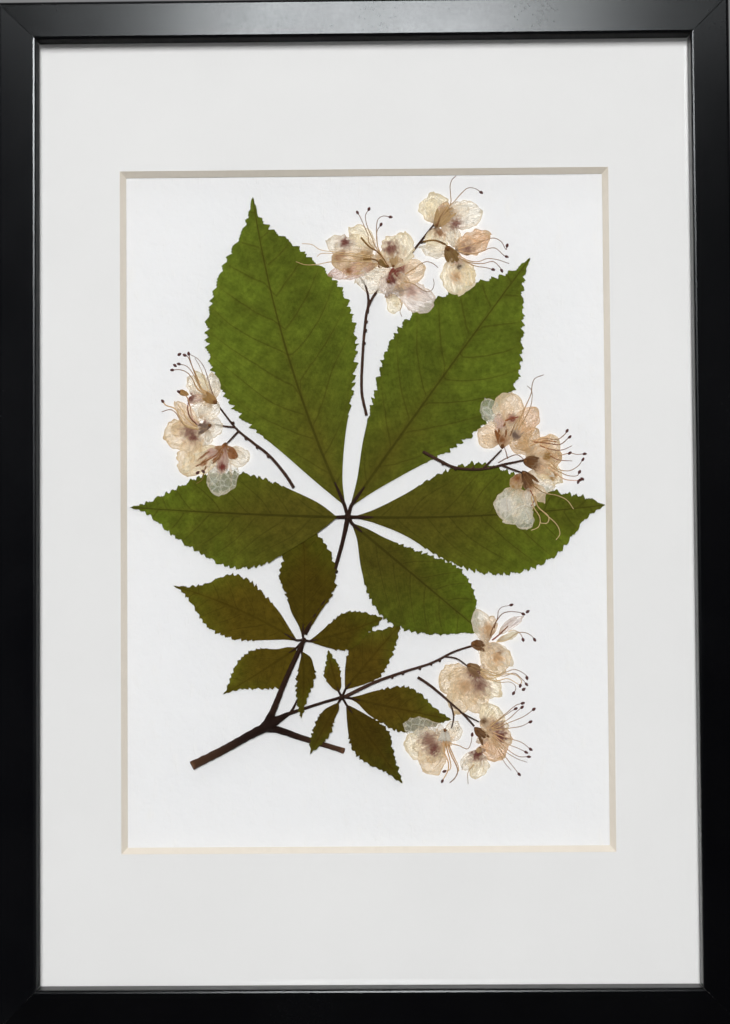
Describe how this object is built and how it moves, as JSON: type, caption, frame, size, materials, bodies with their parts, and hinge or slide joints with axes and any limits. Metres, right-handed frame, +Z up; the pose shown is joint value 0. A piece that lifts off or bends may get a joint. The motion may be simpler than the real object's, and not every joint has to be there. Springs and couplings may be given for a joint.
{
  "type": "pressed flower frame",
  "caption": "Black wooden wall frame with glazing and a white window mat, holding a pressed horse-chestnut branch with palmate leaves and flower sprigs on white paper.",
  "frame": {"origin": "middle notch of the sawtooth hanger, on the plane of the wall", "axes": "+X to the right as seen from the front, +Y into the wall, +Z up; the picture faces -Y"},
  "size_m": [0.319, 0.024, 0.445],
  "materials": {
    "moulding": "satin black lacquer on wood",
    "glazing": "clear flat picture glass",
    "mat_board": "white mat board with a cream core on the bevel",
    "mount_paper": "white textured heavy paper",
    "hardboard": "smooth brown hardboard",
    "zinc_steel": "bright zinc-plated steel",
    "felt": "black felt",
    "leaf_green": "pressed green leaf, matt with fine veins",
    "leaf_brown": "pressed olive-brown leaf, matt with fine veins",
    "dried_stem": "dry dark purplish-brown bark",
    "dried_petal": "thin translucent dried petals with pink and tan stains"
  },
  "bodies": {
    "root": {"rail_top": "moulding", "rail_bottom": "moulding", "rail_left": "moulding", "rail_right": "moulding", "glazing": "glazing", "window_mat": "mat_board", "mount_sheet": "mount_paper", "back_board": "hardboard", "retaining_tab_left_upper": "zinc_steel", "retaining_tab_left_lower": "zinc_steel", "retaining_tab_right_upper": "zinc_steel", "retaining_tab_right_lower": "zinc_steel", "retaining_tab_top": "zinc_steel", "retaining_tab_bottom": "zinc_steel", "hanger": "zinc_steel", "hanger_pin_left": "zinc_steel", "hanger_pin_right": "zinc_steel", "bumper_left": "felt", "bumper_right": "felt", "large_leaflet_upper_left": "leaf_green", "large_leaflet_upper_right": "leaf_green", "large_leaflet_left": "leaf_green", "large_leaflet_right": "leaf_green", "large_leaflet_lower_right": "leaf_green", "middle_leaflet_left": "leaf_brown", "middle_leaflet_top": "leaf_brown", "middle_leaflet_right": "leaf_brown", "middle_leaflet_lower_left": "leaf_brown", "middle_leaflet_bottom": "leaf_brown", "small_leaflet_upper_left": "leaf_brown", "small_leaflet_upper_right": "leaf_brown", "small_leaflet_right": "leaf_brown", "small_leaflet_lower_right": "leaf_brown", "small_leaflet_lower_left": "leaf_brown", "branch": "dried_stem", "petiole_middle": "dried_stem", "petiole_large": "dried_stem", "petiole_small": "dried_stem", "sprig_top_stem": "dried_stem", "sprig_left_stem": "dried_stem", "sprig_right_stem": "dried_stem", "sprig_low_stem": "dried_stem", "sprig_bottom_stem": "dried_stem", "flower_top_left": "dried_petal", "flower_top_middle": "dried_petal", "flower_top_right": "dried_petal", "flower_upper_right": "dried_petal", "flower_far_right": "dried_petal", "flower_left_upper": "dried_petal", "flower_left_middle": "dried_petal", "flower_left_lower": "dried_petal", "flower_right_upper": "dried_petal", "flower_right_middle": "dried_petal", "flower_right_lower": "dried_petal", "flower_low_upper": "dried_petal", "flower_low_lower": "dried_petal", "flower_bottom_left": "dried_petal", "flower_bottom_right": "dried_petal", "flower_bottom_middle": "dried_petal"}
  },
  "joints": []
}
